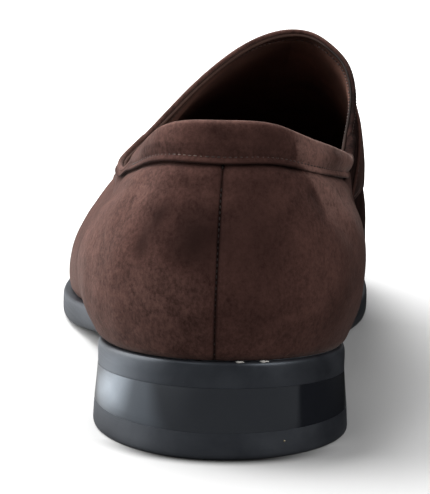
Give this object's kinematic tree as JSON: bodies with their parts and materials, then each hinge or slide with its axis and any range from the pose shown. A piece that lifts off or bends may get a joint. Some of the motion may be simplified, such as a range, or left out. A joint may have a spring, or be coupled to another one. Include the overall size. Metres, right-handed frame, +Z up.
{
  "type": "suede loafer",
  "caption": "Left slip-on loafer in brown suede with a folded collar band, a saddle strap over a plain vamp and a black stacked block heel",
  "frame": {"origin": "on the floor under the middle of the shoe's bounding box", "axes": "+Y from heel to toe, +Z up, +X to the medial side (the wearer's right, as it is a left shoe)"},
  "size_m": [0.1014, 0.3005, 0.1033],
  "materials": {
    "brown_suede": "napped dark brown suede",
    "black_sole": "black, trimmed edge, semi-gloss",
    "black_heel": "black, polished side, semi-gloss",
    "black_top_piece": "black, satin",
    "dark_lining": "dark smooth lining leather"
  },
  "bodies": {
    "root": {"outsole": "black_sole", "heel_block": "black_heel", "heel_top_piece": "black_top_piece", "insole": "dark_lining", "upper": "brown_suede", "collar_band": "brown_suede", "saddle_strap": "brown_suede"}
  },
  "joints": []
}
